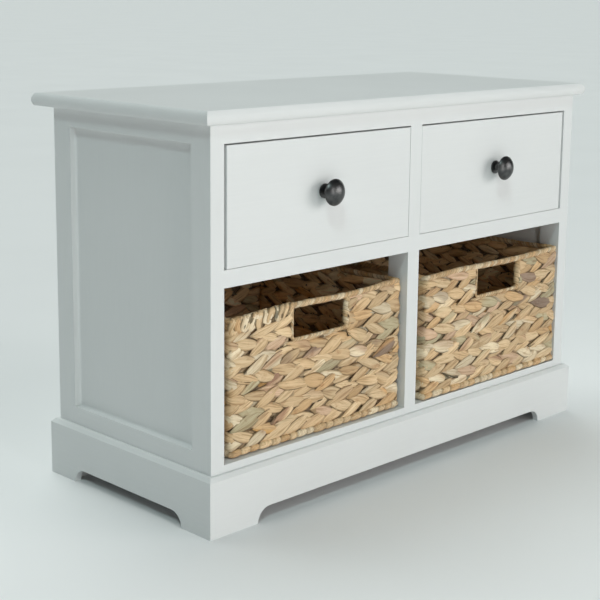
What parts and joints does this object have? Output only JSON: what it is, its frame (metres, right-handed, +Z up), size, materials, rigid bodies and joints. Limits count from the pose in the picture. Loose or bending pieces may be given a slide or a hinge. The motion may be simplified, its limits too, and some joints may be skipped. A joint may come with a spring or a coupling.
{
  "type": "storage bench",
  "caption": "White painted entryway storage bench with inset drawers over open bays that hold woven baskets, on a cut-away plinth.",
  "frame": {"origin": "on the floor under the centre of the bench's box, midway between the knob fronts and the back edge of the top", "axes": "+X to the right seen from the front, +Y from front to back, +Z up"},
  "size_m": [0.735, 0.356, 0.5],
  "materials": {
    "white_paint": "satin paint",
    "painted_back": "thin satin paint",
    "pine": "planed, unpainted",
    "plywood": "sanded, unpainted",
    "beech": "plain",
    "dark_metal": "satin, nearly black",
    "zinc_steel": "zinc plated",
    "frame_wire": "plain drawn",
    "woven_hyacinth": "dry plaited leaf"
  },
  "bodies": {
    "carcass": {"top_board": "white_paint", "front_top_rail": "white_paint", "rear_top_rail": "white_paint", "left_mid_rail": "white_paint", "right_mid_rail": "white_paint", "rear_mid_rail": "white_paint", "front_bottom_rail": "white_paint", "rear_bottom_rail": "white_paint", "bottom_board": "white_paint", "centre_post": "white_paint", "back_panel": "painted_back", "front_plinth": "white_paint", "back_plinth": "white_paint", "drawer_runners": "pine", "drawer_guides": "pine", "drawer_kickers": "pine", "drawer_stops": "pine", "carcass_dowels": "beech", "top_screws": "zinc_steel", "back_panel_pins": "zinc_steel", "left_front_post": "white_paint", "left_rear_post": "white_paint", "left_side_top_rail": "white_paint", "left_side_bottom_rail": "white_paint", "left_side_panel": "white_paint", "left_plinth": "white_paint", "right_front_post": "white_paint", "right_rear_post": "white_paint", "right_side_top_rail": "white_paint", "right_side_bottom_rail": "white_paint", "right_side_panel": "white_paint", "right_plinth": "white_paint"},
    "left_drawer": {"left_drawer_front": "white_paint", "left_drawer_outer_side": "pine", "left_drawer_inner_side": "pine", "left_drawer_back": "pine", "left_drawer_bottom": "plywood", "left_drawer_dowels": "beech", "left_drawer_knob": "dark_metal", "left_drawer_knob_screw": "zinc_steel"},
    "right_drawer": {"right_drawer_front": "white_paint", "right_drawer_outer_side": "pine", "right_drawer_inner_side": "pine", "right_drawer_back": "pine", "right_drawer_bottom": "plywood", "right_drawer_dowels": "beech", "right_drawer_knob": "dark_metal", "right_drawer_knob_screw": "zinc_steel"},
    "left_basket": {"left_basket_walls": "woven_hyacinth", "left_basket_rim": "woven_hyacinth", "left_basket_foot": "woven_hyacinth", "left_basket_floor": "woven_hyacinth", "left_basket_handle_binding": "woven_hyacinth", "left_basket_wire_frame": "frame_wire"},
    "right_basket": {"right_basket_walls": "woven_hyacinth", "right_basket_rim": "woven_hyacinth", "right_basket_foot": "woven_hyacinth", "right_basket_floor": "woven_hyacinth", "right_basket_handle_binding": "woven_hyacinth", "right_basket_wire_frame": "frame_wire"}
  },
  "joints": [
    {"name": "left_drawer_slide", "type": "slide", "parent": "carcass", "child": "left_drawer", "axis": [0, -1, 0], "range_m": [0, 0.2]},
    {"name": "right_drawer_slide", "type": "slide", "parent": "carcass", "child": "right_drawer", "axis": [0, -1, 0], "range_m": [0, 0.2]},
    {"name": "left_basket_slide", "type": "slide", "parent": "carcass", "child": "left_basket", "axis": [0, -1, 0], "range_m": [0, 0.33]},
    {"name": "right_basket_slide", "type": "slide", "parent": "carcass", "child": "right_basket", "axis": [0, -1, 0], "range_m": [0, 0.33]}
  ]
}
